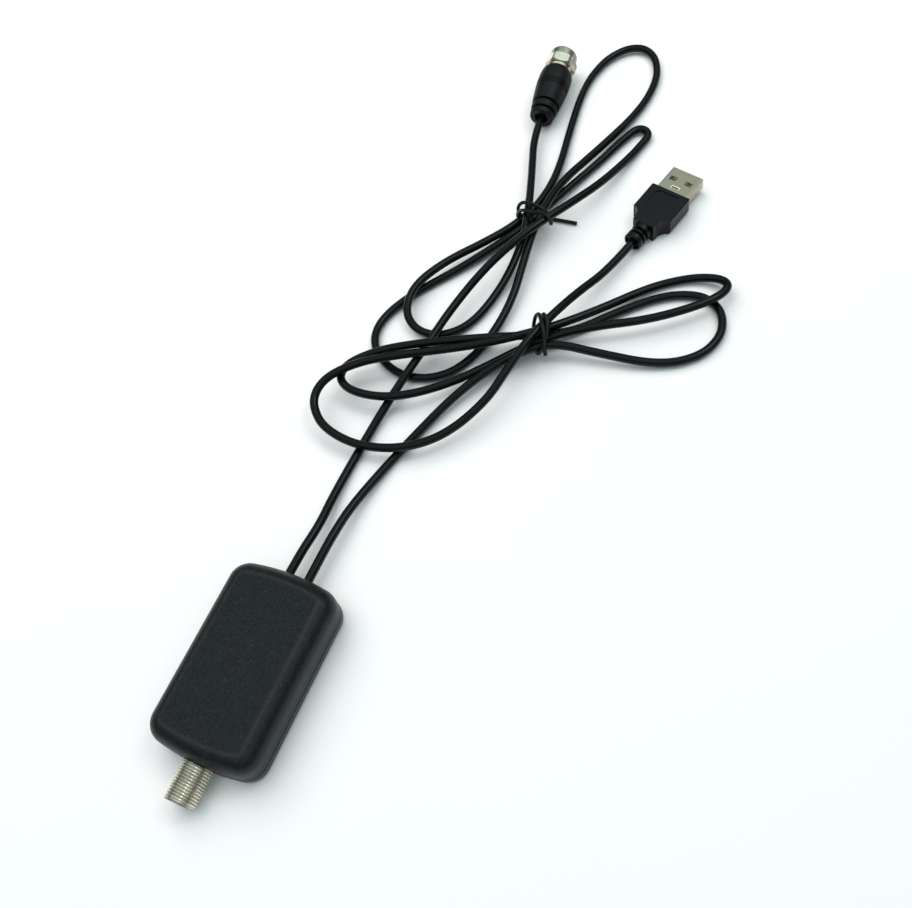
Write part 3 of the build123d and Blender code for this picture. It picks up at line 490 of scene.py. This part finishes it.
coax = wire("coax_lead", COAX_ROUTE, CORD_D, cord_black, "coax_cord")
usb = wire("usb_lead", USB_ROUTE, CORD_D, cord_black, "usb_cord")
tie_1 = wire("tie_wire_1", TIE1_ROUTE, TIE_D, tie_black, "twist_tie_1")
tie_2 = wire("tie_wire_2", TIE2_ROUTE, TIE_D, tie_black, "twist_tie_2")

# ---- floor, light, camera --------------------------------------------------
RIGHT = Vector((0.9051, 0.39909, -0.14671))
DOWN = Vector((0.28296, -0.82287, -0.49276))
FWD = Vector((-0.31738, 0.40448, -0.85771))
CENTRE = Vector((0.03, 0.11, 0))
bpy.ops.mesh.primitive_plane_add(size=2.8, location=(CENTRE.x, CENTRE.y, -0.0001))
floor = bpy.context.object
floor.name = "floor"
fm = Mat("floor_paper")
fm.set(Base_Color=fm.ramp(fm.noise(6, 3, 0.5), [(0.3, (0.885, 0.89, 0.888)), (0.7, (0.905, 0.91, 0.908))]), Roughness=0.9, Specular_IOR_Level=0.2)
fm.set(Normal=fm.bump(fm.noise(900, 2), 0.00002))
floor.data.materials.append(fm.m)

cam_data = bpy.data.cameras.new("camera")
cam = bpy.data.objects.new("camera", cam_data)
bpy.context.scene.collection.objects.link(cam)
cam_data.sensor_width = 36
cam_data.lens = 39.62
cam_data.clip_start = 0.005
cam_data.clip_end = 20
cam_data.dof.use_dof = False
rot = Matrix((RIGHT, -DOWN, -FWD)).transposed().to_4x4()
cam.matrix_world = Matrix.Translation((0.125284, -0.041423, 0.26941)) @ rot
bpy.context.scene.camera = cam


def area(name, direction, distance, size, power, color=(1, 1, 1), glossy=True):
    """A square lamp seen from the middle of the scene in the given direction."""
    d = bpy.data.lights.new(name, "AREA")
    d.shape = "SQUARE"
    d.size = size
    d.energy = power
    d.color = color
    o = bpy.data.objects.new(name, d)
    away = Vector(direction).normalized()
    o.location = CENTRE + away * distance
    o.rotation_mode = "QUATERNION"
    o.rotation_quaternion = (-away).to_track_quat("-Z", "Y")
    o.visible_glossy = glossy
    bpy.context.scene.collection.objects.link(o)
    return o


area("key", (-0.45, 0.25, 0.87), 1.07, 1.2, 9.55, (1.0, 0.885, 0.868), glossy=False)
area("rim", (0.36, 0.45, 0.95), 1.1, 0.3, 1.6, (0.97, 0.99, 1))
w = bpy.context.scene.world or bpy.data.worlds.new("world")
bpy.context.scene.world = w
w.use_nodes = True
wt = w.node_tree
bg = wt.nodes.get("Background")
sky = wt.nodes.new("ShaderNodeSeparateXYZ")
wt.links.new(wt.nodes.new("ShaderNodeTexCoord").outputs["Generated"], sky.inputs[0])
up = wt.nodes.new("ShaderNodeMapRange")
up.interpolation_type = "SMOOTHSTEP"
for k, q in enumerate((0.28, 0.80, 0.05, 0.88)):
    up.inputs[k + 1].default_value = q
wt.links.new(sky.outputs[2], up.inputs[0])
# the pale studio is seen directly; only what the part reflects darkens towards the horizon
direct = wt.nodes.new("ShaderNodeLightPath").outputs["Is Camera Ray"]
seen = wt.nodes.new("ShaderNodeMath")
seen.operation = "MULTIPLY"
seen.inputs[1].default_value = 0.85
wt.links.new(direct, seen.inputs[0])
level = wt.nodes.new("ShaderNodeMath")
level.operation = "MAXIMUM"
wt.links.new(up.outputs[0], level.inputs[0])
wt.links.new(seen.outputs[0], level.inputs[1])
wt.links.new(level.outputs[0], bg.inputs[1])
tint = wt.nodes.new("ShaderNodeMix")
tint.data_type = "RGBA"
tint.inputs[6].default_value = (0.81, 0.96, 0.98, 1)
tint.inputs[7].default_value = (0.96, 0.98, 0.985, 1)
wt.links.new(direct, tint.inputs[0])
wt.links.new(tint.outputs[2], bg.inputs[0])
bpy.context.scene.view_settings.view_transform = "Standard"
bpy.context.scene.view_settings.look = "None"
